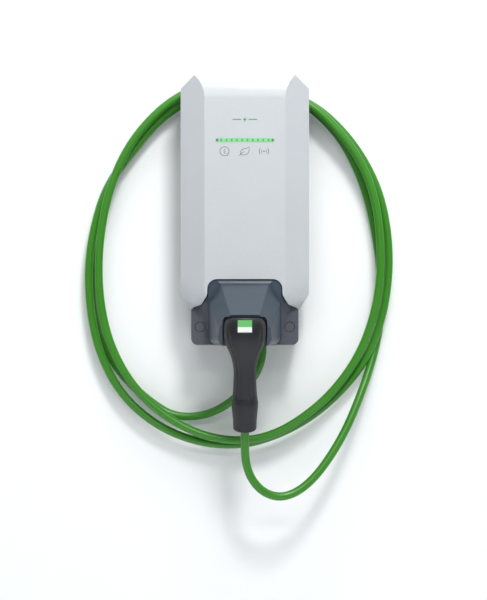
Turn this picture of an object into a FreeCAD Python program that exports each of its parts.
import FreeCAD, Part
import math
import os
import re
import Sketcher

Vector = FreeCAD.Vector

# Wall-mounted EV charging box with a tethered cable, as a parametric document.
# Frame: the wall is the plane y = 0, the front faces -Y, +Z is up, and the origin is the centre of the
# wall-bolt pattern. "Depth" is the distance out from the wall, which is -y. Every size is in millimetres.
SIZES = {
    # front cover
    "cover_width": 183, "cover_top": 179, "cover_rear": 45, "cover_front": 105, "bevel_depth": 81,
    "face_width": 114, "shoulder_width": 143, "shoulder_drop": 18, "crown_radius": 62, "crown_drop": 34,
    "cover_foot": -132, "tip_width": 156.6, "tip_height": -152.5, "flare_width": 124, "flare_height": -146.5,
    "notch_width": 106, "notch_top": -110.5, "notch_knee": -133, "notch_round": 14, "facet_foot": -127,
    "facet_height": -104, "facet_depth": 78, "cover_wall": 2.5, "fit_gap": 0.3,
    "tray_gap": 1.2,
    # light bar and card reader
    "bar_length": 83, "bar_height": 5.3, "bar_centre": 85.4, "bar_proud": 0.4, "bar_thickness": 4,
    "led_pitch": 7.4, "led_size": 3.5, "led_height": 2, "led_board_depth": 90, "led_board_width": 96,
    "led_board_height": 12, "reader_width": 60, "reader_height": 52, "reader_centre": 28,
    # rear housing: the tray, and the neck that the cable is wound over
    "neck_width": 120, "neck_top": 160.5, "neck_rear": 8, "neck_round": 48, "housing_wall": 3,
    "tray_width": 172, "tray_top": 173, "tray_rear": 44, "tray_front": 72, "tray_foot": -150,
    "tray_shoulder": 138, "tray_drop": 17, "tray_cut_height": -118, "tray_foot_width": 132,
    "gasket_height": 1.5, "lid_thickness": 2.5, "lid_screw": 1.6, "lid_boss": 4, "lid_screw_spread": 160,
    "lid_screw_pitch": 120, "lid_screw_middle": 20, "catch_length": 14, "catch_height": 2.7,
    "duct_low": 6, "duct_high": 48, "duct_near": 16, "duct_far": 42,
    # wall bracket
    "bracket_width": 110, "bracket_height": 270, "bracket_thickness": 2, "bracket_round": 8,
    "bolt_spacing": 90, "bolt_rise": 240, "bolt_hole": 3.25, "foot_radius": 7, "foot_spacing": 60,
    "foot_rise": 170, "foot_screw": 2, "entry_height": -118, "entry_bore": 8, "entry_lip": 2,
    "entry_clearance": 6,
    # boards and power parts
    "board_thickness": 1.6, "power_board_depth": 19, "power_board_width": 104, "power_board_low": -46,
    "power_board_high": 130, "control_board_depth": 56, "control_board_width": 136,
    "control_board_low": 28, "control_board_high": 148, "board_inset": 6, "spacer_radius": 3.5,
    "board_screw": 1.5, "relay_width": 22, "relay_height": 30, "relay_depth": 26, "relay_pitch": 27,
    "relay_low": 26, "coil_block_width": 36, "coil_block_height": 30, "coil_block_depth": 26,
    "capacitor_radius": 9, "capacitor_length": 28, "capacitor_pitch": 20, "power_row_height": 104,
    "sensor_radius": 18, "sensor_bore": 11, "sensor_length": 14, "sensor_low": -44,
    "terminal_width": 62, "terminal_height": 24, "terminal_depth": 30, "terminal_low": -76,
    "terminal_pitch": 12, "terminal_screw": 2.2,
    # lower console
    "console_width": 153, "console_top": -153.5, "console_foot": -204, "console_front": 79.5,
    "console_round": 9, "console_wall": 3, "cap_spacing": 127.8, "cap_height": -178.4, "cap_radius": 6.8,
    "cap_depth": 3.2, "cap_well": 8, "cap_gap": 0.6, "cap_recess": 0.5, "console_screw": 2.5,
    "console_boss": 9, "seam_gap": 1.1, "seam_lip": 2.6, "seam_groove": 0.8, "brow_front": 98,
    "brow_width": 134, "brow_foot": -182,
    # plug holder: a block on the console with a hood that the connector hangs in
    "holder_width": 103.6, "holder_top": -111.8, "holder_shoulder": 103, "holder_round": 12, "holder_flange": 5.8,
    "hood_width": 66, "hood_top": -161, "hood_front": 154, "hood_mouth": 6, "hood_gap": 2,
    "hood_crest": 69, "hood_brow": 40, "hood_cheek": -184, "hood_edge": 3, "hood_side": 1.5,
    "holder_screw": 2, "holder_screw_spacing": 88, "holder_screw_rise": 30,
    # connector, placed from its grip point along the way that it is pushed in
    "grip_depth": 150, "grip_height": -187, "plug_tilt": 20, "head_face": 13, "seat_gap": 1,
    "head_width": 58, "head_rise": 21, "nose_radius": 25.5, "nose_flat": 20.5, "nose_length": 46,
    "nose_wall": 3, "nose_clearance": 0.5, "shell_wall": 2.5, "contact_radius": 3.9, "contact_bore": 3,
    "signal_radius": 2.4, "signal_bore": 1.5, "contact_pitch": 14.5, "contact_length": 36,
    "split_depth": 152, "split_height": -165, "split_tilt": 17, "nut_height": -275, "nut_depth": 117,
    "nut_tilt": 18, "nut_length": 49, "nut_radius": 18.7, "nut_end_radius": 16.4, "nut_mouth": 17.3,
    "label_width": 19.4, "label_top": -167.6, "label_foot": -184.3, "label_share": 0.57,
    "label_front": 170.2, "label_thickness": 1.6, "shell_screw": 1.6,
    # cable
    "cable_radius": 6, "exit_offset": 26, "exit_depth": 30, "boot_radius": 10, "boot_neck": 8.5,
    "boot_lip": 2, "stub_top": -168, "coil_near": 3, "coil_far": 40, "coil_width": 27,
    "wire_radius": 1.1, "clamp_width": 28, "clamp_low": -186, "clamp_height": 9,
}
LEDS = 10
RELAYS = 3
CAPACITORS = 3
WIRES = 5

# Head and grip sections of the connector, from the top down:
# height, half width, depth of the centre, half depth, lean in degrees.
GRIP_SECTIONS = [
    (-164.3, 19.5, 149.0, 17.5, 0),
    (-167.0, 25.0, 149.0, 20.5, 0),
    (-173.0, 28.2, 149.0, 22.0, 0),
    (-185.0, 29.0, 149.0, 22.8, 0),
    (-198.0, 27.4, 147.0, 22.5, 0),
    (-212.0, 22.0, 143.5, 17.5, 4),
    (-227.0, 17.2, 136.5, 15.5, 10),
    (-242.0, 15.7, 130.2, 15.2, 15),
    (-259.0, 16.2, 123.2, 16.1, 18),
    (-275.0, 17.4, 117.0, 17.3, 18),
]

# Screws that join the connector's two shells, driven in from the wall side.
SHELL_SCREW_HEIGHTS = [-229, -257]
SHELL_SCREW_DEPTHS = [120, 107.5]

# Contacts of the connector: name, across and up in contact pitches, and whether it is a power contact.
CONTACTS = [
    ("Earth", 0, 0, True), ("LineOne", -1, 0, True), ("Neutral", 1, 0, True), ("LineTwo", -0.52, -0.9, True),
    ("LineThree", 0.52, -0.9, True), ("Pilot", -0.48, 0.72, False), ("Proximity", 0.48, 0.72, False),
]

# Middle line of the wound bundle, anticlockwise from the top: x and z.
COIL_LINE = [
    (0, 177.2), (-48, 172.5), (-93, 153), (-131, 124), (-168, 80), (-197, 28), (-214, -28), (-221, -88),
    (-219, -150), (-203, -212), (-171, -270), (-121, -313), (-64, -340), (-6, -348), (44, -337),
    (90, -312), (130, -277), (167, -229), (191, -172), (204, -112), (205, -51), (196, 10), (174, 62),
    (139, 108), (96, 145), (47, 171.5),
]

# Route of the lead from the box to the coil, and of the tail from the coil to the connector: x, depth, z.
LEAD_ROUTE = [
    (26, 30, -206), (26, 30, -221), (19.5, 28.5, -243), (5, 26, -264), (-14, 22, -284), (-38, 18, -301),
    (-66, 14, -311), (-96, 11, -312), (-122, 10, -303),
]
TAIL_ROUTE = [
    (199, 11, -140), (198.5, 16, -176), (192, 24, -212), (180, 34, -249), (165, 44, -286), (147, 53, -326),
    (124, 62, -364), (99, 70, -396), (73, 76, -416), (48, 80.5, -422), (25, 84.5, -413), (9, 88, -394.5),
    (1, 90, -371), (0, 93.9, -346.3), (0, 101.9, -321.6),
]

doc = FreeCAD.newDocument("ChargingBox")
sheet = doc.addObject("Spreadsheet::Sheet", "Sizes")
for row, (alias, value) in enumerate(SIZES.items(), start=1):
    sheet.set(f"A{row}", alias)
    sheet.set(f"B{row}", str(value))
    sheet.setAlias(f"B{row}", alias)
doc.recompute()


# ---------------------------------------------------------------- helpers
def cells(text):
    """An expression with each size's name pointed at its cell in the sheet."""
    return re.sub(r"[a-z][a-z_]+", lambda word: "Sizes." + word[0] if word[0] in SIZES else word[0], str(text))


def bind(item, **expressions):
    """Bind properties of an object to expressions in the sizes."""
    for name, text in expressions.items():
        item.setExpression(name, cells(text))
    return item


def place(item, x=0, depth=0, z=0):
    """Bind an object's position, given as x, distance out from the wall, and height."""
    item.setExpression("Placement.Base.x", cells(x))
    item.setExpression("Placement.Base.y", cells(f"-({depth})"))
    item.setExpression("Placement.Base.z", cells(z))
    return item


def block(name, x, depth, z):
    """A box from its low and high x, depth and z."""
    made = doc.addObject("Part::Box", name)
    bind(made, Length=f"({x[1]}) - ({x[0]})", Width=f"({depth[1]}) - ({depth[0]})",
         Height=f"({z[1]}) - ({z[0]})")
    return place(made, x[0], depth[1], z[0])


def rod(name, radius, x, depth, z):
    """A cylinder that points out from the wall, between two depths."""
    made = doc.addObject("Part::Cylinder", name)
    made.Placement.Rotation = FreeCAD.Rotation(Vector(1, 0, 0), 90)
    bind(made, Radius=radius, Height=f"({depth[1]}) - ({depth[0]})")
    return place(made, x, depth[0], z)


def post(name, radius, x, depth, z):
    """An upright cylinder between two heights."""
    made = doc.addObject("Part::Cylinder", name)
    bind(made, Radius=radius, Height=f"({z[1]}) - ({z[0]})")
    return place(made, x, depth, z[0])


def joined(name, pieces):
    """One solid from pieces that touch."""
    made = doc.addObject("Part::MultiFuse", name)
    made.Shapes = pieces
    made.Refine = True
    return made


def group(name, pieces):
    """Separate solids kept in one node."""
    made = doc.addObject("Part::Compound", name)
    made.Links = pieces
    return made


def cut(name, base, tools):
    """The base with one or more tools taken away."""
    tool = tools[0] if len(tools) == 1 else joined(name + "Tools", tools)
    made = doc.addObject("Part::Cut", name)
    made.Base = base
    made.Tool = tool
    return made


def common(name, pieces):
    """What all the pieces share."""
    made = doc.addObject("Part::MultiCommon", name)
    made.Shapes = pieces
    return made


def sketch(body, name, role, offset=0):
    """A sketch on one of the body's own origin planes, moved along that plane's normal."""
    made = body.newObject("Sketcher::SketchObject", name)
    made.AttachmentSupport = [(next(p for p in body.Origin.OriginFeatures if p.Role == role), "")]
    made.MapMode = "FlatFace"
    made.setExpression("AttachmentOffset.Base.z", cells(offset))
    return made


def pin(drawn, geometry, point, across, up):
    """Hold one point of a sketch at the place that two expressions give."""
    for kind, text in (("DistanceX", across), ("DistanceY", up)):
        index = drawn.addConstraint(Sketcher.Constraint(kind, -1, 1, geometry, point, 1.0))
        drawn.setExpression(f"Constraints[{index}]", cells(text))


def polygon(drawn, corners):
    """A closed outline whose corners are pairs of expressions."""
    count = len(corners)
    first = drawn.GeometryCount
    spots = [Vector(math.cos(math.tau * k / count), math.sin(math.tau * k / count), 0) for k in range(count)]
    for k in range(count):
        drawn.addGeometry(Part.LineSegment(spots[k], spots[(k + 1) % count]), False)
    for k in range(count):
        drawn.addConstraint(Sketcher.Constraint("Coincident", first + k, 2, first + (k + 1) % count, 1))
    for k, (across, up) in enumerate(corners):
        pin(drawn, first + k, 1, across, up)


def mirrored(corners):
    """Corners of the right half from the top down, then the same on the left from the foot up."""
    return corners + [(f"-({across})", up) for across, up in reversed(corners)]


def rectangle(drawn, across, up):
    """A rectangle from its low and high values."""
    polygon(drawn, [(across[0], up[0]), (across[1], up[0]), (across[1], up[1]), (across[0], up[1])])


def circle(drawn, across, up, radius):
    """A circle with its centre and radius bound."""
    index = drawn.addGeometry(Part.Circle(Vector(0, 0, 0), Vector(0, 0, 1), 1), False)
    pin(drawn, index, 3, across, up)
    held = drawn.addConstraint(Sketcher.Constraint("Radius", index, 1))
    drawn.setExpression(f"Constraints[{held}]", cells(radius))


def pad(body, drawn, length):
    """Material from a sketch, along its normal."""
    made = body.newObject("PartDesign::Pad", drawn.Name + "Pad")
    made.Profile = drawn
    return bind(made, Length=length)


def pocket(body, drawn, length, reverse=False, both=False):
    """Material taken away against the sketch's normal, along it, or both ways."""
    made = body.newObject("PartDesign::Pocket", drawn.Name + "Pocket")
    made.Profile = drawn
    made.Reversed = reverse
    made.Midplane = both
    return bind(made, Length=length)


def edges_out(shape, wanted):
    """Names of the straight edges that run out from the wall and whose x and z pass the test."""
    names = []
    for number, edge in enumerate(shape.Edges, start=1):
        ends = [vertex.Point for vertex in edge.Vertexes]
        if len(ends) == 2 and abs(ends[0].x - ends[1].x) + abs(ends[0].z - ends[1].z) < 1e-6:
            if wanted(ends[0].x, ends[0].z):
                names.append(f"Edge{number}")
    return names


def rounded(body, feature, wanted, radius):
    """Round the body's outward edges that pass the test."""
    doc.recompute()
    made = body.newObject("PartDesign::Fillet", feature.Name + "Round")
    made.Base = (feature, edges_out(feature.Shape, wanted))
    return bind(made, Radius=radius)


def screw(name, x, head_depth, z, shank, length, head_height=2.5):
    """A socket-head screw driven towards the wall, its head's outer face at head_depth."""
    head = rod(name + "Head", f"1.8 * {shank}", x, (f"{head_depth} - {head_height}", head_depth), z)
    stem = rod(name + "Stem", shank, x, (f"{head_depth} - {head_height} - ({length})",
                                         f"{head_depth} - {head_height}"), z)
    socket = doc.addObject("Part::Prism", name + "Socket")
    socket.Polygon = 6
    socket.Placement.Rotation = FreeCAD.Rotation(Vector(1, 0, 0), 90)
    bind(socket, Circumradius=f"0.95 * {shank}", Height=head_height)
    place(socket, x, f"{head_depth} - 0.6 * {head_height}", z)
    return cut(name, joined(name + "Blank", [head, stem]), [socket])


def corners_of(half_width, low, high):
    """The four corners of a rectangle that is centred on x = 0."""
    return [(f"{side} * ({half_width})", z) for side in (-1, 1) for z in (low, high)]


def tangent_path(points, closed=False):
    """Straight runs joined by tangent arcs, each as large as its two runs allow; also the radii."""
    spots = [Vector(*point) for point in points]
    count = len(spots)
    bends = []
    radii = []
    for k in range(0 if closed else 1, count if closed else count - 1):
        before, corner, after = spots[k - 1], spots[k], spots[(k + 1) % count]
        inward, outward = (before - corner), (after - corner)
        reach = 0.45 * min(inward.Length, outward.Length)
        turn = math.pi - inward.getAngle(outward)
        start = corner + inward.normalize() * reach
        end = corner + outward.normalize() * reach
        radius = reach / math.tan(turn / 2)
        middle_way = (inward + outward).normalize()
        middle = corner + middle_way * (radius / math.cos(turn / 2) - radius)
        bends.append((start, middle, end))
        radii.append(radius)
    edges = []
    last = bends[-1][2] if closed else spots[0]
    for start, middle, end in bends:
        edges.append(Part.LineSegment(last, start).toShape())
        edges.append(Part.Arc(start, middle, end).toShape())
        last = end
    if not closed:
        edges.append(Part.LineSegment(last, spots[-1]).toShape())
    return Part.Wire(edges), radii


def tube(name, points, radius):
    """A round cord along a tangent path, as one solid of the document."""
    path, radii = tangent_path(points)
    start = Vector(*points[0])
    ring = Part.Wire(Part.makeCircle(radius, start, Vector(*points[1]) - start))
    made = doc.addObject("Part::Feature", name)
    made.Shape = path.makePipeShell([ring], True, True)
    made.Placement = FreeCAD.Placement()
    share = made.Shape.Volume / (math.pi * radius ** 2 * path.Length)
    print(f"{name}: {path.Length:.0f} mm, volume / (section x length) {share:.4f}, smallest radius",
          f"{min(radii):.0f} mm")
    return made


def from_wall(route):
    """A route given as x, depth, z in the frame's own x, y, z."""
    return [(x, -depth, z) for x, depth, z in route]


# ---------------------------------------------------------------- front cover
def cover_blank(name, inset):
    """The cover's outer form, every face moved inwards by inset."""
    body = doc.addObject("PartDesign::Body", name)
    outline = sketch(body, name + "Outline", "XZ_Plane", "cover_rear")
    slope = "tan(atan((cover_front - bevel_depth) / ((cover_width - face_width) / 2)) / 2)"
    right = [
        (f"shoulder_width / 2 - 0.4 * {inset}", f"cover_top - {inset}"),
        (f"cover_width / 2 - {inset}", f"cover_top - shoulder_drop - 0.4 * {inset}"),
        (f"cover_width / 2 - {inset}", f"cover_foot + 0.6 * {inset}"),
        (f"tip_width / 2 - 0.5 * {inset}", f"tip_height + {inset}"),
        (f"flare_width / 2 + 0.6 * {inset}", f"flare_height + 1.2 * {inset}"),
        (f"notch_width / 2 + {inset}", f"notch_knee + 0.4 * {inset}"),
        (f"notch_width / 2 + {inset}", f"notch_top + {inset}"),
    ]
    polygon(outline, mirrored(right))
    blank = pad(body, outline, f"cover_front - {inset} - cover_rear")
    notch = SIZES["notch_width"] / 2
    doc.recompute()
    rounded(body, blank, lambda x, z: abs(x) < notch + 5 and z < 0, "notch_round")
    plan = sketch(body, name + "Bevels", "XY_Plane")
    half_face = f"face_width / 2 - {inset} * {slope}"
    knee = f"-(bevel_depth - {inset} * (1 - {slope}) / (1 + {slope}))"
    for side in ("1", "-1"):
        polygon(plan, [(f"{side} * ({half_face})", f"-(cover_front - {inset})"),
                       (f"{side} * cover_width / 2", "-cover_front - 5"),
                       (f"{side} * (cover_width / 2 - {inset})", knee)])
    pocket(body, plan, "3 * cover_width", both=True)
    crown = sketch(body, name + "Crown", "YZ_Plane")
    crown_arc(crown, inset)
    pocket(body, crown, "2 * cover_width", both=True)
    return body


def crown_arc(drawn, inset):
    """The sliver above the crown: an arc from the front face up to the top, closed by two lines."""
    inner = SIZES["cover_wall"] if inset != "0" else 0
    radius = SIZES["crown_radius"] - inner
    centre = Vector(SIZES["crown_radius"] - SIZES["cover_front"], SIZES["cover_top"] - SIZES["crown_drop"], 0)
    rise = SIZES["cover_top"] - inner - centre.y
    top_angle = math.pi - math.asin(rise / radius)
    arc = Part.ArcOfCircle(Part.Circle(centre, Vector(0, 0, 1), radius), top_angle, math.pi)
    start = centre + Vector(math.cos(top_angle), math.sin(top_angle), 0) * radius
    foot = centre - Vector(radius, 0, 0)
    corner = Vector(foot.x, start.y, 0)
    drawn.addGeometry(arc, False)
    drawn.addGeometry(Part.LineSegment(foot, corner), False)
    drawn.addGeometry(Part.LineSegment(corner, start), False)
    drawn.addConstraint(Sketcher.Constraint("Coincident", 0, 2, 1, 1))
    drawn.addConstraint(Sketcher.Constraint("Coincident", 1, 2, 2, 1))
    drawn.addConstraint(Sketcher.Constraint("Coincident", 2, 2, 0, 1))
    drawn.addConstraint(Sketcher.Constraint("Vertical", 1))
    drawn.addConstraint(Sketcher.Constraint("Horizontal", 2))
    pin(drawn, 0, 3, "crown_radius - cover_front", "cover_top - crown_drop")
    held = drawn.addConstraint(Sketcher.Constraint("Radius", 0, radius))
    drawn.setExpression(f"Constraints[{held}]", cells(f"crown_radius - {inset}"))
    level = drawn.addConstraint(Sketcher.Constraint("DistanceY", -1, 1, 2, 1, corner.y))
    drawn.setExpression(f"Constraints[{level}]", cells(f"cover_top - {inset}"))
    beside = drawn.addConstraint(Sketcher.Constraint("DistanceX", -1, 1, 0, 2, foot.x))
    drawn.setExpression(f"Constraints[{beside}]", cells(f"{inset} - cover_front"))


def block_beyond(name, one, two, three, deeper=0):
    """A large block in front of the plane through three points, or starting somewhat behind it."""
    size = SIZES["cover_width"]
    along = (two - one).normalize()
    out = along.cross(three - one).normalize()
    if out.y > 0:
        out = out * -1
    across = out.cross(along)
    tool = doc.addObject("Part::Box", name)
    bind(tool, Length="cover_width", Width="cover_width", Height="cover_width")
    turn = FreeCAD.Rotation(along, across, out, "XYZ")
    tool.Placement = FreeCAD.Placement(one + turn.multVec(Vector(-size / 2, -size / 2, -deeper)), turn)
    return tool


def facet_tools(name, inset):
    """Two tilted blocks that slope the cover's lower corners back towards the wall."""
    deeper = 0 if inset == "0" else SIZES[inset]
    tools = []
    for side in (1, -1):
        edge = Vector(side * SIZES["cover_width"] / 2, -SIZES["bevel_depth"], SIZES["facet_height"])
        face = Vector(side * SIZES["face_width"] / 2, -SIZES["cover_front"], SIZES["facet_foot"])
        tip = Vector(side * SIZES["tip_width"] / 2, -SIZES["facet_depth"], SIZES["tip_height"])
        tools.append(block_beyond(f"{name}{'Right' if side > 0 else 'Left'}", edge, face, tip, deeper))
    return tools


def front_cover():
    """White moulded cover: bevelled sides, crowned top, sloped lower corners, notch for the holder."""
    outer = cut("CoverOuter", cover_blank("CoverForm", "0"), facet_tools("CoverFacet", "0"))
    inner = cut("CoverInner", cover_blank("CoverHollow", "cover_wall"), facet_tools("HollowFacet", "cover_wall"))
    shell = cut("CoverShell", outer, [inner])
    room = doc.addObject("PartDesign::Body", "TrayRoom")
    outline = sketch(room, "TrayRoomOutline", "XZ_Plane", "cover_rear - 1")
    polygon(outline, tray_outline("-tray_gap"))
    pad(room, outline, "tray_front + gasket_height + lid_thickness + tray_gap - cover_rear + 1")
    return cut("front_cover", shell, [bar_blank("BarSlot", "0", "cover_wall", "4 * cover_wall"), room])


def bar_blank(name, gap, proud, length):
    """A round-ended bar in the front face, smaller than its slot by gap all round."""
    half = "bar_length / 2 - bar_height / 2"
    span = (f"cover_front + {proud} - ({length})", f"cover_front + {proud}")
    middle = block(name + "Middle", (f"-({half})", half), span,
                   (f"bar_centre - bar_height / 2 + {gap}", f"bar_centre + bar_height / 2 - {gap}"))
    ends = [rod(f"{name}End{k}", f"bar_height / 2 - {gap}", f"{side} * ({half})", span, "bar_centre")
            for k, side in enumerate((-1, 1))]
    return joined(name, [middle] + ends)


def light_bar():
    """Translucent bar that fills the slot in the cover's face."""
    return bar_blank("light_bar", "fit_gap / 2", "bar_proud", "bar_thickness")


# ---------------------------------------------------------------- wall bracket and rear housing
def wall_bracket():
    """Steel plate with four holes for the wall bolts and an opening for the supply cable."""
    body = doc.addObject("PartDesign::Body", "wall_bracket")
    plate = sketch(body, "BracketPlate", "XZ_Plane")
    rectangle(plate, ("-bracket_width / 2", "bracket_width / 2"), ("-bracket_height / 2", "bracket_height / 2"))
    base = pad(body, plate, "bracket_thickness")
    rounded(body, base, lambda x, z: True, "bracket_round")
    holes = sketch(body, "BracketHoles", "XZ_Plane", "bracket_thickness")
    for x, z in corners_of("bolt_spacing / 2", "-bolt_rise / 2", "bolt_rise / 2"):
        circle(holes, x, z, "bolt_hole")
    for x, z in corners_of("foot_spacing / 2", "-foot_rise / 2", "foot_rise / 2"):
        circle(holes, x, z, "foot_screw + 0.05")
    circle(holes, "0", "entry_height", "entry_bore + entry_clearance")
    pocket(body, holes, "2 * bracket_thickness")


def tray_outline(inset):
    """Corners of the tray's outline, moved inwards by inset."""
    return mirrored([
        (f"tray_shoulder / 2 - 0.4 * ({inset})", f"tray_top - ({inset})"),
        (f"tray_width / 2 - ({inset})", f"tray_top - tray_drop - 0.4 * ({inset})"),
        (f"tray_width / 2 - ({inset})", f"tray_cut_height + 0.3 * ({inset})"),
        (f"tray_foot_width / 2 - 0.5 * ({inset})", f"tray_foot + ({inset})"),
    ])


def lid_screw_places():
    """Where the inner lid is screwed to the tray."""
    return [(f"{side} * lid_screw_spread / 2", f"lid_screw_middle + {level} * lid_screw_pitch")
            for side in (-1, 1) for level in (-1, 0, 1)]


def rear_housing():
    """Moulded base: a narrow neck towards the wall, a wide tray in front of it and a foot plate below."""
    body = doc.addObject("PartDesign::Body", "HousingBody")
    tray = sketch(body, "HousingTray", "XZ_Plane", "tray_rear")
    polygon(tray, tray_outline("0"))
    pad(body, tray, "tray_front - tray_rear")
    neck = sketch(body, "HousingNeck", "XZ_Plane", "neck_rear")
    rectangle(neck, ("-neck_width / 2", "neck_width / 2"), ("tray_foot", "neck_top"))
    pad(body, neck, "tray_rear - neck_rear")
    foot = sketch(body, "HousingFoot", "XZ_Plane", "neck_rear")
    rectangle(foot, ("-console_width / 2", "console_width / 2"), ("console_foot", "tray_foot + housing_wall"))
    pad(body, foot, "housing_wall")
    feet = sketch(body, "HousingFeet", "XZ_Plane", "bracket_thickness")
    for x, z in corners_of("foot_spacing / 2", "-foot_rise / 2", "foot_rise / 2"):
        circle(feet, x, z, "foot_radius")
    pad(body, feet, "neck_rear - bracket_thickness")
    hollow = sketch(body, "TrayHollow", "XZ_Plane", "tray_front")
    polygon(hollow, tray_outline("housing_wall"))
    pocket(body, hollow, "tray_front - tray_rear - housing_wall")
    inside = sketch(body, "NeckHollow", "XZ_Plane", "tray_rear + housing_wall")
    rectangle(inside, ("-neck_width / 2 + housing_wall", "neck_width / 2 - housing_wall"),
              ("tray_foot + housing_wall", "neck_top - housing_wall"))
    opened = pocket(body, inside, "tray_rear - neck_rear")
    inner_top = SIZES["neck_top"] - SIZES["housing_wall"]
    rounded(body, opened, lambda x, z: abs(z - inner_top) < 0.1 and abs(x) > 50, "neck_round - housing_wall")
    rounded(body, body.Tip, lambda x, z: abs(z - SIZES["neck_top"]) < 0.1 and abs(x) > 50, "neck_round")
    rounded(body, body.Tip, lambda x, z: abs(z - SIZES["console_foot"]) < 0.1, "console_round")
    bosses = sketch(body, "LidBosses", "XZ_Plane", "tray_rear + housing_wall")
    for x, z in lid_screw_places():
        circle(bosses, x, z, "lid_boss")
    pad(body, bosses, "tray_front - tray_rear - housing_wall")
    tools = [rod(f"LidHole{k}", "lid_screw + 0.05", x, ("tray_front - 12", "tray_front + 1"), z)
             for k, (x, z) in enumerate(lid_screw_places())]
    tools += [rod(f"FootHole{k}", "foot_screw + 0.05", x, ("0", "neck_rear + housing_wall + 1"), z)
              for k, (x, z) in enumerate(corners_of("foot_spacing / 2", "-foot_rise / 2", "foot_rise / 2"))]
    tools += [rod(f"AnchorHole{side}", "console_screw + 0.05", f"{side} * cap_spacing / 2",
                  ("neck_rear - 1", "neck_rear + housing_wall + 1"), "cap_height") for side in (-1, 1)]
    tools.append(rod("EntryHole", "entry_bore + entry_lip", "0", ("0", "neck_rear + housing_wall + 1"),
                     "entry_height"))
    tools.append(block("HousingDuct", ("duct_low", "duct_high"), ("duct_near", "duct_far"),
                       ("tray_foot - 1", "tray_foot + housing_wall + 1")))
    return cut("rear_housing", body, tools)


def bracket_screws():
    """Four screws that hold the rear housing to the wall bracket."""
    places = corners_of("foot_spacing / 2", "-foot_rise / 2", "foot_rise / 2")
    group("bracket_screws", [
        screw(f"BracketScrew{k}", x, "neck_rear + housing_wall + 2.5", z, "foot_screw",
              "neck_rear + housing_wall - 0.2") for k, (x, z) in enumerate(places)])


def supply_grommet():
    """Rubber ring in the back wall that the supply cable comes through."""
    lip = rod("GrommetLip", "entry_bore + 2 * entry_lip", "0",
              ("neck_rear + housing_wall", "neck_rear + housing_wall + entry_lip"), "entry_height")
    neck = rod("GrommetNeck", "entry_bore + entry_lip", "0",
               ("neck_rear - entry_lip", "neck_rear + housing_wall"), "entry_height")
    bore = rod("GrommetBore", "entry_bore", "0", ("neck_rear - 5", "neck_rear + 12"), "entry_height")
    cut("supply_grommet", joined("GrommetBlank", [lip, neck]), [bore])


def tray_gasket():
    """Seal between the tray's rim and the inner lid."""
    body = doc.addObject("PartDesign::Body", "tray_gasket")
    ring = sketch(body, "GasketRing", "XZ_Plane", "tray_front")
    polygon(ring, tray_outline("0"))
    polygon(ring, tray_outline("housing_wall"))
    pad(body, ring, "gasket_height")


def inner_lid():
    """Flat lid over the tray, with posts that carry the light and card-reader boards."""
    body = doc.addObject("PartDesign::Body", "InnerLidBody")
    plate = sketch(body, "LidPlate", "XZ_Plane", "tray_front + gasket_height")
    polygon(plate, tray_outline("0"))
    pad(body, plate, "lid_thickness")
    posts = sketch(body, "LidPosts", "XZ_Plane", "tray_front + gasket_height + lid_thickness")
    for x, z in light_places() + reader_places():
        circle(posts, x, z, "spacer_radius")
    pad(body, posts, "led_board_depth - tray_front - gasket_height - lid_thickness")
    holes = [rod(f"LidThrough{k}", "lid_screw + 0.1", x, ("tray_front", "tray_front + 9"), z)
             for k, (x, z) in enumerate(lid_screw_places())]
    cut("inner_lid", body, holes)


def lid_screws():
    """Screws of the inner lid."""
    group("lid_screws", [
        screw(f"LidScrew{k}", x, "tray_front + gasket_height + lid_thickness + 2.5", z, "lid_screw", "14")
        for k, (x, z) in enumerate(lid_screw_places())])


def cover_catches():
    """Sprung catches on the tray's sides that the cover snaps over."""
    pieces = []
    for side in (-1, 1):
        for level in (-60, 70):
            inner = "tray_width / 2"
            span = (inner, f"{inner} + catch_height") if side > 0 else (f"-({inner} + catch_height)", f"-({inner})")
            pieces.append(block(f"Catch{side}{level}", span, ("tray_front - 12", "tray_front - 6"),
                                (f"{level} - catch_length / 2", f"{level} + catch_length / 2")))
    group("cover_catches", pieces)


# ---------------------------------------------------------------- boards and power parts
def power_places():
    """Fixing points of the power board."""
    return corners_of("power_board_width / 2 - board_inset", "power_board_low + board_inset",
                      "power_board_high - board_inset")


def control_places():
    """Fixing points of the control board."""
    return corners_of("control_board_width / 2 - board_inset", "control_board_low + board_inset",
                      "control_board_high - board_inset")


def light_places():
    """Fixing points of the light board."""
    return [(f"{side} * (led_board_width / 2 - board_inset)", "bar_centre") for side in (-1, 1)]


def reader_places():
    """Fixing points of the card-reader board."""
    return corners_of("reader_width / 2 - board_inset", "reader_centre - reader_height / 2 + board_inset",
                      "reader_centre + reader_height / 2 - board_inset")


def board(name, half_width, depth, low, high, places):
    """A circuit board with a hole at each fixing point."""
    sheet_block = block(name + "Blank", (f"-({half_width})", half_width),
                        (depth, f"{depth} + board_thickness"), (low, high))
    holes = [rod(f"{name}Hole{k}", "board_screw + 0.1", x, (f"{depth} - 1", f"{depth} + 4"), z)
             for k, (x, z) in enumerate(places)]
    cut(name, sheet_block, holes)


def spacers(name, low, high, places):
    """Threaded spacers under a board."""
    pieces = []
    for k, (x, z) in enumerate(places):
        sleeve = rod(f"{name}Sleeve{k}", "spacer_radius", x, (low, high), z)
        bore = rod(f"{name}Bore{k}", "board_screw + 0.05", x, (f"{low} + 2", f"{high} + 1"), z)
        pieces.append(cut(f"{name}Piece{k}", sleeve, [bore]))
    group(name, pieces)


def board_screws():
    """Screws of the power and control boards."""
    pieces = [screw(f"PowerScrew{k}", x, "power_board_depth + board_thickness + 2.5", z, "board_screw", "6")
              for k, (x, z) in enumerate(power_places())]
    pieces += [screw(f"ControlScrew{k}", x, "control_board_depth + board_thickness + 2.5", z, "board_screw", "6")
               for k, (x, z) in enumerate(control_places())]
    group("board_screws", pieces)


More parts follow.
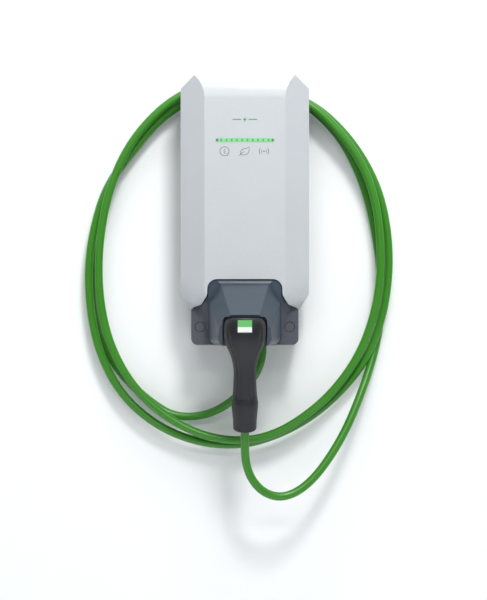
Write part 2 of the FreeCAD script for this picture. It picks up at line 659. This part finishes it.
def power_parts():
    """Relays, transformer, capacitors and the residual-current ring on the power board."""
    top = "power_board_depth + board_thickness"
    relays = []
    for k in range(RELAYS):
        middle = f"{k - (RELAYS - 1) / 2} * relay_pitch"
        relays.append(block(f"Relay{k}", (f"{middle} - relay_width / 2", f"{middle} + relay_width / 2"),
                            (top, f"{top} + relay_depth"), ("relay_low", "relay_low + relay_height")))
    group("relays", relays)
    core = block("TransformerCore", ("-46", "-46 + coil_block_width"), (top, f"{top} + coil_block_depth"),
                 ("power_row_height - coil_block_height / 4", "power_row_height + coil_block_height / 4"))
    winding = block("TransformerWinding", ("-41", "-51 + coil_block_width"),
                    (f"{top} + 3", f"{top} + coil_block_depth - 3"),
                    ("power_row_height - coil_block_height / 2", "power_row_height + coil_block_height / 2"))
    joined("transformer", [core, winding])
    group("capacitors", [
        rod(f"Capacitor{k}", "capacitor_radius", f"2 + {k} * capacitor_pitch",
            (top, f"{top} + capacitor_length"), "power_row_height") for k in range(CAPACITORS)])
    ring = post("SensorRing", "sensor_radius", "exit_offset", f"{top} + sensor_radius",
                ("sensor_low", "sensor_low + sensor_length"))
    bore = post("SensorBore", "sensor_bore", "exit_offset", f"{top} + sensor_radius",
                ("sensor_low - 1", "sensor_low + sensor_length + 1"))
    cut("residual_current_sensor", ring, [bore])


def terminal_block():
    """Five-pole block for the supply conductors, with its clamping screws."""
    back = "(neck_rear + housing_wall)"
    body = block("TerminalBody", ("-terminal_width / 2 - 20", "terminal_width / 2 - 20"),
                 (back, f"{back} + terminal_depth"), ("terminal_low", "terminal_low + terminal_height"))
    places = [f"{k - 2} * terminal_pitch - 20" for k in range(5)]
    middle = "terminal_low + terminal_height / 2"
    wells = [rod(f"TerminalWell{k}", "1.8 * terminal_screw + fit_gap", x,
                 (f"{back} + terminal_depth - 8", f"{back} + terminal_depth + 1"), middle)
             for k, x in enumerate(places)]
    throats = [block(f"TerminalThroat{k}", (f"{x} - 3", f"{x} + 3"), (f"{back} + 6", f"{back} + 14"),
                     ("terminal_low - 1", "terminal_low + 9")) for k, x in enumerate(places)]
    cut("supply_terminal_block", body, wells + throats)
    group("terminal_screws", [
        screw(f"TerminalScrew{k}", x, f"{back} + terminal_depth - 5.5 + fit_gap", middle, "terminal_screw", "0.01")
        for k, x in enumerate(places)])


def control_parts():
    """Network socket, radio module and processor on the control board."""
    top = "control_board_depth + board_thickness"
    socket = block("SocketShell", ("30", "46"), (top, f"{top} + 13"), ("control_board_low", "control_board_low + 21"))
    mouth = block("SocketMouth", ("32", "44"), (f"{top} + 2", f"{top} + 10"),
                  ("control_board_low - 1", "control_board_low + 14"))
    cut("network_socket", socket, [mouth])
    group("control_chips", [
        block("RadioModule", ("-40", "-22"), (top, f"{top} + 3"), ("108", "134")),
        block("Processor", ("-8", "10"), (top, f"{top} + 1.6"), ("84", "102")),
        block("Memory", ("18", "28"), (top, f"{top} + 1.2"), ("88", "98")),
    ])


def light_board():
    """Board with a row of lamps behind the light bar, and the card-reader board below it."""
    board("led_board", "led_board_width / 2", "led_board_depth", "bar_centre - led_board_height / 2",
          "bar_centre + led_board_height / 2", light_places())
    top = "led_board_depth + board_thickness"
    group("leds", [
        block(f"Led{k}", (f"{k - (LEDS - 1) / 2} * led_pitch - led_size / 2",
                          f"{k - (LEDS - 1) / 2} * led_pitch + led_size / 2"), (top, f"{top} + led_height"),
              ("bar_centre - led_size / 2", "bar_centre + led_size / 2")) for k in range(LEDS)])
    board("card_reader_board", "reader_width / 2", "led_board_depth", "reader_centre - reader_height / 2",
          "reader_centre + reader_height / 2", reader_places())


# ---------------------------------------------------------------- lower console
def seam_line(gap, inner, outer):
    """Three points below the cover's lower edge, a gap away from it: outer end, flare and inner end."""
    foot_rise = "((flare_height - tip_height) / (tip_width / 2 - flare_width / 2))"
    notch_rise = "((notch_knee - flare_height) / (flare_width / 2 - notch_width / 2))"
    foot_drop = f"({gap}) * sqrt(1 + {foot_rise}^2)"
    notch_drop = f"({gap}) * sqrt(1 + {notch_rise}^2)"
    bend = f"(flare_width / 2 - ({notch_drop} - {foot_drop}) / ({notch_rise} - {foot_rise}))"

    def on_foot(x):
        return f"tip_height + (tip_width / 2 - ({x})) * {foot_rise} - {foot_drop}"

    last = f"flare_height + (flare_width / 2 - ({inner})) * {notch_rise} - {notch_drop}"
    return [(outer, on_foot(outer)), (bend, on_foot(bend)), (inner, last)]


def both_sides(drawn, right):
    """Draw an outline and its mirror image."""
    polygon(drawn, right)
    polygon(drawn, [(f"-({x})", z) for x, z in right])


def console_brow():
    """Two sloped corners of the console, which rise beside the holder to the cover's notch."""
    body = doc.addObject("PartDesign::Body", "ConsoleBrowBody")
    inner, outer = "holder_width / 2 + fit_gap", "brow_width / 2"
    drawn = sketch(body, "ConsoleBrowFront", "XZ_Plane", "console_front - 1")
    polygon(drawn, [(inner, "brow_foot"), (outer, "brow_foot")] + seam_line("seam_gap", inner, outer))
    pad(body, drawn, "brow_front - console_front + 1")
    root = Vector(SIZES["holder_width"] / 2, -SIZES["brow_front"], SIZES["notch_knee"])
    low = Vector(root.x, -SIZES["console_front"], SIZES["brow_foot"])
    far = Vector(SIZES["brow_width"] / 2, -SIZES["console_front"], SIZES["flare_height"])
    rising = cut("ConsoleBrowRight", body, [block_beyond("ConsoleBrowSlope", root, low, far)])
    other = doc.addObject("Part::Mirroring", "ConsoleBrowLeft")
    other.Source = rising
    other.Normal = Vector(1, 0, 0)
    return joined("ConsoleBrow", [rising, other])


def lower_console():
    """Dark panel below the cover: it carries the plug holder and lets the cable out."""
    body = doc.addObject("PartDesign::Body", "ConsoleBody")
    back = "(neck_rear + housing_wall)"
    front = sketch(body, "ConsoleFront", "XZ_Plane", back)
    rectangle(front, ("-console_width / 2", "console_width / 2"), ("console_foot", "console_top"))
    base = pad(body, front, f"console_front - {back}")
    foot = SIZES["console_foot"]
    rounded(body, base, lambda x, z: abs(z - foot) < 0.1, "console_round")
    collar = sketch(body, "ConsoleCollar", "XZ_Plane", back)
    rectangle(collar, ("-neck_width / 2", "neck_width / 2"), ("console_top - console_wall", "tray_foot"))
    pad(body, collar, f"tray_rear - 1 - {back}")
    hollow = sketch(body, "ConsoleHollow", "XZ_Plane", back)
    rectangle(hollow, ("-console_width / 2 + console_wall", "console_width / 2 - console_wall"),
              ("console_foot + console_wall", "console_top - console_wall"))
    opened = pocket(body, hollow, f"console_front - console_wall - {back}", reverse=True)
    inner_foot = SIZES["console_foot"] + SIZES["console_wall"]
    rounded(body, opened, lambda x, z: abs(z - inner_foot) < 0.1, "console_round - console_wall")
    bosses = sketch(body, "ConsoleBosses", "XZ_Plane", back)
    for side in (-1, 1):
        circle(bosses, f"{side} * cap_spacing / 2", "cap_height", "console_boss")
    pad(body, bosses, f"console_front - {back}")
    behind_wing = "(tray_front + gasket_height + lid_thickness + fit_gap + seam_gap)"
    wings = sketch(body, "ConsoleWings", "XZ_Plane", behind_wing)
    holder_side = "holder_width / 2 + fit_gap"
    ear_side = "console_width / 2"
    foot_line = "console_top - console_wall"
    both_sides(wings, [(holder_side, foot_line), (ear_side, foot_line)]
               + seam_line("seam_gap", holder_side, ear_side))
    pad(body, wings, f"console_front - {behind_wing}")
    groove = sketch(body, "ConsoleSeamGroove", "XZ_Plane", "console_front - seam_groove")
    inside, outside = "holder_width / 2 - 1", "console_width / 2 + 1"
    low_edge = seam_line("seam_gap + seam_lip + seam_groove", inside, outside)
    both_sides(groove, seam_line("seam_gap + seam_lip", inside, outside) + low_edge[::-1])
    pocket(body, groove, "2 * seam_groove", reverse=True)
    tools = []
    for side in (-1, 1):
        tools.append(rod(f"ConsoleBolt{side}", "console_screw + 0.1", f"{side} * cap_spacing / 2",
                         (f"{back} - 1", "console_front"), "cap_height"))
        tools.append(rod(f"CapWell{side}", "cap_radius + cap_gap", f"{side} * cap_spacing / 2",
                         ("console_front - cap_well", "console_front + 1"), "cap_height"))
    tools += [rod(f"HolderHole{k}", "holder_screw + 0.1", x, ("console_front - 5", "console_front + 1"), z)
              for k, (x, z) in enumerate(holder_screw_places())]
    tools.append(block("ConsoleDuct", ("duct_low", "duct_high"), ("duct_near", "duct_far"),
                       ("console_top - console_wall - 1", "tray_foot + 1")))
    tools.append(post("CableHole", "boot_neck", "exit_offset", "exit_depth",
                      ("console_foot - 1", "console_foot + console_wall + 1")))
    return cut("lower_console", joined("ConsoleForm", [body, console_brow()]), tools)


def console_screws():
    """Two long screws that hold the console to the rear housing, and the caps over them."""
    length = "console_front - cap_well - neck_rear"
    group("console_screws", [
        screw(f"ConsoleScrew{side}", f"{side} * cap_spacing / 2", "console_front - cap_well + 3.5", "cap_height",
              "console_screw", length, 3.5) for side in (-1, 1)])
    caps = [rod(f"Cap{side}", "cap_radius", f"{side} * cap_spacing / 2",
                ("console_front - cap_depth", "console_front - cap_recess"), "cap_height") for side in (-1, 1)]
    group("screw_caps", caps)


def holder_screw_places():
    """Where the plug holder is screwed to the console, from inside."""
    return corners_of("holder_screw_spacing / 2", "cap_height - holder_screw_rise / 2",
                      "cap_height + holder_screw_rise / 2")


# ---------------------------------------------------------------- plug holder
PLUG_TURN = FreeCAD.Rotation(Vector(1, 0, 0), SIZES["plug_tilt"] - 90)


def along_plug(item, across, up, along):
    """Place an object in the connector's own frame: across, up, and along the way it is pushed in."""
    item.Placement.Rotation = PLUG_TURN
    item.setExpression("Placement.Base.x", cells(across))
    item.setExpression("Placement.Base.y", cells(
        f"-grip_depth + ({along}) * cos(plug_tilt) - ({up}) * sin(plug_tilt)"))
    item.setExpression("Placement.Base.z", cells(
        f"grip_height + ({along}) * sin(plug_tilt) + ({up}) * cos(plug_tilt)"))
    return item


def plug_block(name, across, up, along):
    """A box in the connector's frame, from its low and high values each way."""
    made = doc.addObject("Part::Box", name)
    bind(made, Length=f"({across[1]}) - ({across[0]})", Width=f"({up[1]}) - ({up[0]})",
         Height=f"({along[1]}) - ({along[0]})")
    return along_plug(made, across[0], up[1], along[0])


def plug_rod(name, radius, across, up, along):
    """A cylinder along the connector's axis."""
    made = doc.addObject("Part::Cylinder", name)
    bind(made, Radius=radius, Height=f"({along[1]}) - ({along[0]})")
    return along_plug(made, across, up, along[0])


def nose_form(name, radius, flat, along):
    """A cylinder along the connector's axis with a flat along its top."""
    barrel = plug_rod(name + "Barrel", radius, "0", "0", along)
    bound = plug_block(name + "Bound", (f"-({radius})", radius), (f"-({radius})", flat), along)
    return common(name, [barrel, bound])


def filleted(name, base, edges, radius):
    """A shape with some of its edges rounded."""
    made = doc.addObject("Part::Fillet", name)
    made.Base = base
    made.Edges = [(number, radius, radius) for number in edges]
    return made


def edge_numbers(shape, wanted):
    """Numbers of the edges whose two ends pass the test."""
    found = []
    for number, edge in enumerate(shape.Edges, start=1):
        if len(edge.Vertexes) == 2 and wanted(edge.Vertexes[0].Point, edge.Vertexes[1].Point):
            found.append(number)
    return found


def plug_holder():
    """Slate block with a hood that the connector's nose hangs in."""
    half = "holder_width / 2"
    lower = block("HolderLower", (f"-{half}", half), ("console_front", "holder_shoulder"),
                  ("console_foot", "console_top - fit_gap"))
    upper = block("HolderUpper", (f"-{half}", half), ("console_front", "holder_shoulder"),
                  ("console_top - 1", "holder_top"))
    hood = doc.addObject("Part::Wedge", "HolderHood")
    bind(hood, Xmin="-hood_width / 2", Xmax="hood_width / 2", Zmin="console_foot", Zmax="hood_top",
         X2min=f"-({half} - hood_side)", X2max=f"{half} - hood_side", Z2min="console_foot",
         Z2max="holder_top - holder_flange",
         Ymin="-hood_front", Ymax="-holder_shoulder")
    base = joined("HolderBase", [lower, upper])
    crest = SIZES["holder_top"] - SIZES["holder_flange"]
    cheeks = [
        block_beyond(f"HoodCheek{side}", Vector(side * SIZES["hood_crest"] / 2, -SIZES["holder_shoulder"], crest),
                     Vector(side * SIZES["hood_brow"] / 2, -SIZES["hood_front"], SIZES["hood_top"]),
                     Vector(side * SIZES["hood_width"] / 2, -SIZES["hood_front"], SIZES["hood_cheek"]))
        for side in (-1, 1)]
    faceted = cut("HolderFacetedHood", hood, cheeks)
    doc.recompute()

    def runs_out(one, other):
        """Edges that run outwards, at the corners of the block or the hood."""
        return abs(one.y - other.y) > abs(one.x - other.x) and abs(one.y - other.y) > 20

    def is_crease(edge):
        """Whether an edge bounds the hood's sloping top."""
        return max(corner.Point.z for corner in edge.Vertexes) > crest - 1

    soft_base = filleted("HolderSoftBase", base, edge_numbers(base.Shape, runs_out), SIZES["holder_round"])
    soft_hood = doc.addObject("Part::Fillet", "HolderSoftHood")
    soft_hood.Base = faceted
    soft_hood.Edges = [
        (number, radius, radius) for number in edge_numbers(faceted.Shape, runs_out)
        for radius in [SIZES["hood_edge"] if is_crease(faceted.Shape.Edges[number - 1]) else SIZES["holder_round"]]]
    soft = joined("HolderSoft", [soft_base, soft_hood])
    mouth_reach = ("-60", "hood_mouth")
    tools = [plug_block("HoodTrim", ("-80", "80"), ("-90", "90"), mouth_reach)]
    gap_half = "head_width / 2 + hood_gap"
    floor = "head_face + seat_gap"
    corner = "10"
    tools.append(plug_block("RecessMiddle", (f"-({gap_half}) + {corner}", f"{gap_half} - {corner}"),
                            ("-60", "head_rise + hood_gap"), ("0", floor)))
    tools.append(plug_block("RecessSides", (f"-({gap_half})", gap_half),
                            ("-60", f"head_rise + hood_gap - {corner}"), ("0", floor)))
    tools += [plug_rod(f"RecessCorner{side}", corner, f"{side} * ({gap_half} - {corner})",
                       f"head_rise + hood_gap - {corner}", ("0", floor)) for side in (-1, 1)]
    tools.append(nose_form("HolderBore", "nose_radius + nose_clearance", "nose_flat + nose_clearance",
                           ("head_face", "head_face + nose_length + 2")))
    tools += [rod(f"HolderPilot{k}", "holder_screw + 0.05", x, ("console_front - 1", "console_front + 9"), z)
              for k, (x, z) in enumerate(holder_screw_places())]
    tools.append(block("HolderUpperHollow", (f"-{half} + 2 * console_wall", f"{half} - 2 * console_wall"),
                       ("console_front - 1", "holder_shoulder - console_wall"),
                       ("console_top + console_wall", "holder_top - console_wall")))
    bore_side = "nose_radius + nose_clearance + console_wall"
    boss_side = "holder_screw_spacing / 2 - 2 * holder_screw"
    for side, span in (("Left", (f"-({boss_side})", f"-({bore_side})")), ("Right", (bore_side, boss_side))):
        tools.append(block(f"HolderHollow{side}", span, ("console_front - 1", "holder_shoulder"),
                           ("console_foot + console_wall", "console_top - console_wall")))
    cut("plug_holder", soft, tools)
    holder_screws()


def holder_screws():
    """Four screws driven outwards through the console into the holder."""
    pieces = []
    for k, (x, z) in enumerate(holder_screw_places()):
        head = rod(f"HolderScrewHead{k}", "1.8 * holder_screw", x,
                   ("console_front - console_wall - 2.5", "console_front - console_wall"), z)
        stem = rod(f"HolderScrewStem{k}", "holder_screw", x,
                   ("console_front - console_wall", "console_front + 8"), z)
        pieces.append(joined(f"HolderScrew{k}", [head, stem]))
    group("holder_screws", pieces)


# ---------------------------------------------------------------- connector
def grip_loft(name, inset, first):
    """The connector's head and grip as a loft through its sections, moved inwards by inset."""
    sections = []
    for number, (height, half_width, depth, half_depth, lean) in enumerate(GRIP_SECTIONS[first:]):
        ring = doc.addObject("Part::Ellipse", f"{name}Section{number}")
        bind(ring, MajorRadius=f"{half_width} - {inset}", MinorRadius=f"{half_depth} - {inset}")
        ring.Placement = FreeCAD.Placement(Vector(0, -depth, height), FreeCAD.Rotation(Vector(1, 0, 0), lean))
        sections.append(ring)
    made = doc.addObject("Part::Loft", name)
    made.Sections = sections
    made.Solid = True
    made.Ruled = False
    made.MaxDegree = 3
    return made


def connector_shells():
    """Front and rear halves of the connector's body, split along the grip."""
    outer = cut("GripOuter", grip_loft("GripLoft", "0", 0),
                [plug_block("FaceTrim", ("-60", "60"), ("-30", "60"), ("head_face", "head_face + 80"))])
    inner = cut("GripInner", grip_loft("GripHollow", "shell_wall", 1),
                [plug_block("FloorTrim", ("-60", "60"), ("-30 - shell_wall", "60"),
                            ("head_face - shell_wall", "head_face + 80"))])
    wire_way = plug_rod("WireWay", "nose_radius / 2", "0", "0", ("head_face - 8", "head_face + 1"))
    pocket_block = block("LabelPocket", ("-label_width / 2 - 0.15", "label_width / 2 + 0.15"),
                         ("label_front - label_thickness", "label_front + 9"),
                         ("label_foot - 0.15", "label_top + 0.15"))
    screw_ways = [rod(f"ShellScrewWay{k}", "shell_screw + 0.05", "0", ("80", "split_depth - 20"), z)
                  for k, z in enumerate(SHELL_SCREW_HEIGHTS)]
    shell = cut("GripShell", outer, [inner, wire_way, pocket_block])
    splitter = doc.addObject("Part::Box", "Splitter")
    bind(splitter, Length="200", Width="200", Height="400")
    splitter.Placement.Rotation = FreeCAD.Rotation(Vector(1, 0, 0), SIZES["split_tilt"])
    pivot = Vector(0, -SIZES["split_depth"], SIZES["split_height"])
    splitter.Placement.Base = pivot + splitter.Placement.Rotation.multVec(Vector(-100, -200, -200))
    common("connector_front_shell", [shell, splitter])
    cut("connector_rear_shell", shell, [splitter] + screw_ways)


def connector_nose():
    """Shroud of the connector with a flat top, the contact carrier inside it and the seven contacts."""
    start = "head_face"
    end = "head_face + nose_length"
    outer = nose_form("NoseOuter", "nose_radius", "nose_flat", (start, end))
    inner = nose_form("NoseInner", "nose_radius - nose_wall", "nose_flat - nose_wall",
                      (f"{start} + nose_wall", f"{end} + 1"))
    wire_way = plug_rod("NoseWay", "nose_radius / 2", "0", "0", (f"{start} - 1", f"{start} + nose_wall + 1"))
    cut("connector_nose", outer, [inner, wire_way])
    carrier = nose_form("CarrierBlank", "nose_radius - nose_wall - fit_gap / 3",
                        "nose_flat - nose_wall - fit_gap / 3", (f"{start} + nose_wall", f"{end} - 3"))
    holes = []
    sleeves = []
    for name, across, up, power in CONTACTS:
        radius, bore = ("contact_radius", "contact_bore") if power else ("signal_radius", "signal_bore")
        spot = (f"{across} * contact_pitch", f"{up} * contact_pitch")
        holes.append(plug_rod(name + "Hole", radius, spot[0], spot[1], (f"{start} + nose_wall - 1", end)))
        tube_out = plug_rod(name + "Sleeve", radius, spot[0], spot[1],
                            (f"{start} + nose_wall", f"{start} + nose_wall + contact_length"))
        tube_in = plug_rod(name + "Bore", bore, spot[0], spot[1],
                           (f"{start} + nose_wall + 8", f"{start} + nose_wall + contact_length + 1"))
        sleeves.append(cut(name + "Contact", tube_out, [tube_in]))
    cut("contact_carrier", carrier, holes)
    group("contacts", sleeves)


def cable_nut():
    """Nut that clamps the cable to the connector, turned about its own leaning axis."""
    body = doc.addObject("PartDesign::Body", "cable_nut")
    profile = sketch(body, "NutProfile", "XZ_Plane")
    polygon(profile, [
        ("cable_radius", "0"), ("nut_mouth", "0"), ("nut_radius", "-0.16 * nut_length"),
        ("nut_radius", "-0.3 * nut_length"), ("nut_end_radius + 0.4", "-0.72 * nut_length"),
        ("nut_end_radius", "-0.97 * nut_length"), ("nut_end_radius - 0.8", "-nut_length"),
        ("cable_radius", "-nut_length")])
    turned = body.newObject("PartDesign::Revolution", "NutTurned")
    turned.Profile = profile
    turned.ReferenceAxis = (profile, ["V_Axis"])
    turned.Angle = 360
    body.Placement.Rotation = FreeCAD.Rotation(Vector(1, 0, 0), SIZES["nut_tilt"])
    place(body, "0", "nut_depth", "nut_height")


def connector_fittings():
    """Label, sealing ring and screws of the connector."""
    half = "label_width / 2"
    edge = "label_foot + (1 - label_share) * (label_top - label_foot)"
    depth = ("label_front - label_thickness", "label_front")
    block("label_green", (f"-{half}", half), depth, (edge, "label_top"))
    block("label_white", (f"-{half}", half), depth, ("label_foot", edge))
    group("shell_screws", [
        rod(f"ShellScrew{k}", "shell_screw", "0", (start, f"{start} + shell_wall + 5"), z)
        for k, (z, start) in enumerate(zip(SHELL_SCREW_HEIGHTS, SHELL_SCREW_DEPTHS))])


# ---------------------------------------------------------------- cable
def cable_coil():
    """The wound bundle as one closed band around the box."""
    line, radii = tangent_path([(x, 0, z) for x, z in COIL_LINE], closed=True)
    half = SIZES["coil_width"] / 2
    outer = line.makeOffset2D(half)
    inner = line.makeOffset2D(-half)
    if outer.BoundBox.DiagonalLength < inner.BoundBox.DiagonalLength:
        outer, inner = inner, outer
    face = Part.makeFace([outer, inner], "Part::FaceMakerBullseye")
    made = doc.addObject("Part::Feature", "cable_coil")
    made.Shape = face.extrude(Vector(0, SIZES["coil_near"] - SIZES["coil_far"], 0))
    made.Placement = FreeCAD.Placement(Vector(0, -SIZES["coil_near"], 0), FreeCAD.Rotation())
    print(f"cable_coil: one turn {line.Length:.0f} mm, smallest radius {min(radii):.0f} mm")


def cable_fittings():
    """Boot in the console's floor, the sheath's inner end, the clamp on it and the conductors."""
    foot = "console_foot"
    spot = ("exit_offset", "exit_depth")
    rings = [
        post("BootLip", "boot_radius", *spot, (f"{foot} - boot_lip", foot)),
        post("BootNeck", "boot_neck", *spot, (foot, f"{foot} + console_wall")),
        post("BootInner", "boot_radius", *spot, (f"{foot} + console_wall", f"{foot} + console_wall + boot_lip")),
    ]
    bore = post("BootBore", "cable_radius", *spot, (f"{foot} - 9", f"{foot} + 9"))
    cut("cable_boot", joined("BootBlank", rings), [bore])
    post("cable_sheath_end", "cable_radius", *spot, (f"{foot} - boot_lip", "stub_top"))
    clamp = block("ClampBlank", ("exit_offset - clamp_width / 2", "exit_offset + clamp_width / 2"),
                  ("neck_rear + housing_wall", "exit_depth + cable_radius + 4"),
                  ("clamp_low", "clamp_low + clamp_height"))
    hole = post("ClampBore", "cable_radius", *spot, ("clamp_low - 1", "clamp_low + clamp_height + 1"))
    cut("cable_clamp", clamp, [hole])
    top = "exit_depth + cable_radius + 4"
    group("clamp_screws", [
        rod(f"ClampScrew{side}", "shell_screw * 1.8", f"exit_offset + {side} * (clamp_width / 2 - 4)",
            (top, f"{top} + 2.2"), "clamp_low + clamp_height / 2") for side in (-1, 1)])


def conductors():
    """The cable's inner conductors, up through the residual-current ring to the relays."""
    low = SIZES["exit_depth"]
    high = SIZES["power_board_depth"] + SIZES["board_thickness"] + SIZES["sensor_radius"]
    top = SIZES["power_board_depth"] + SIZES["board_thickness"] + SIZES["relay_depth"] / 2
    radius = SIZES["wire_radius"]
    wires = []
    for k in range(WIRES):
        lane = k - (WIRES - 1) / 2
        narrow = SIZES["exit_offset"] + lane * 2.1 * radius
        wide = SIZES["exit_offset"] + lane * 3.3 * radius
        target = lane * SIZES["relay_pitch"] * (RELAYS - 1) / (WIRES - 1)
        points = from_wall([
            (narrow, low, SIZES["stub_top"]), (narrow, low, SIZES["stub_top"] + 26), (wide, high, -110),
            (wide, high, -5 + 3 * k), (target, top, 5 + 3 * k), (target, top, SIZES["relay_low"]),
        ])
        path, _ = tangent_path(points)
        start = Vector(*points[0])
        ring = Part.Wire(Part.makeCircle(radius, start, Vector(*points[1]) - start))
        wires.append(path.makePipeShell([ring], True, True))
    made = doc.addObject("Part::Feature", "conductors")
    made.Shape = Part.makeCompound(wires)
    made.Placement = FreeCAD.Placement()


front_cover()
light_bar()
wall_bracket()
rear_housing()
bracket_screws()
supply_grommet()
tray_gasket()
inner_lid()
lid_screws()
cover_catches()
board("power_board", "power_board_width / 2", "power_board_depth", "power_board_low", "power_board_high",
      power_places())
spacers("power_board_spacers", "neck_rear + housing_wall", "power_board_depth", power_places())
board("control_board", "control_board_width / 2", "control_board_depth", "control_board_low",
      "control_board_high", control_places())
spacers("control_board_spacers", "tray_rear + housing_wall", "control_board_depth", control_places())
board_screws()
power_parts()
terminal_block()
control_parts()
light_board()
lower_console()
console_screws()
plug_holder()
connector_shells()
connector_nose()
cable_nut()
connector_fittings()
cable_coil()
cable_fittings()
conductors()
tube("cable_lead", from_wall(LEAD_ROUTE), SIZES["cable_radius"])
tube("cable_tail", from_wall(TAIL_ROUTE), SIZES["cable_radius"])
doc.recompute()

NODES = [
    "front_cover", "light_bar", "wall_bracket", "rear_housing", "bracket_screws", "supply_grommet",
    "tray_gasket", "inner_lid", "lid_screws", "cover_catches", "power_board", "power_board_spacers",
    "control_board", "control_board_spacers", "board_screws", "relays", "transformer", "capacitors",
    "residual_current_sensor", "supply_terminal_block", "terminal_screws", "network_socket",
    "control_chips", "led_board", "leds", "card_reader_board", "lower_console", "console_screws",
    "screw_caps", "plug_holder", "holder_screws", "connector_front_shell", "connector_rear_shell",
    "connector_nose", "contact_carrier", "contacts", "cable_nut", "label_green", "label_white",
    "shell_screws", "cable_boot", "cable_sheath_end", "cable_clamp", "clamp_screws", "conductors",
    "cable_lead", "cable_coil", "cable_tail",
]

faults = [f"{item.Name} {item.State}" for item in doc.Objects if {"Invalid", "Error"} & set(item.State)]
for node in NODES:
    item = doc.getObject(node)
    item.Label = node
    if item.Shape.isNull() or not item.Shape.isValid() or not item.Shape.Solids:
        faults.append(f"{node} has no valid solid")
if faults:
    raise RuntimeError("; ".join(faults))

os.makedirs("parts", exist_ok=True)
for node in NODES:
    shape = doc.getObject(node).Shape
    shape.exportStep(f"parts/{node}.step")
    print(f"{node}: {len(shape.Solids)} solid(s), {shape.Volume / 1000:.1f} cm3")
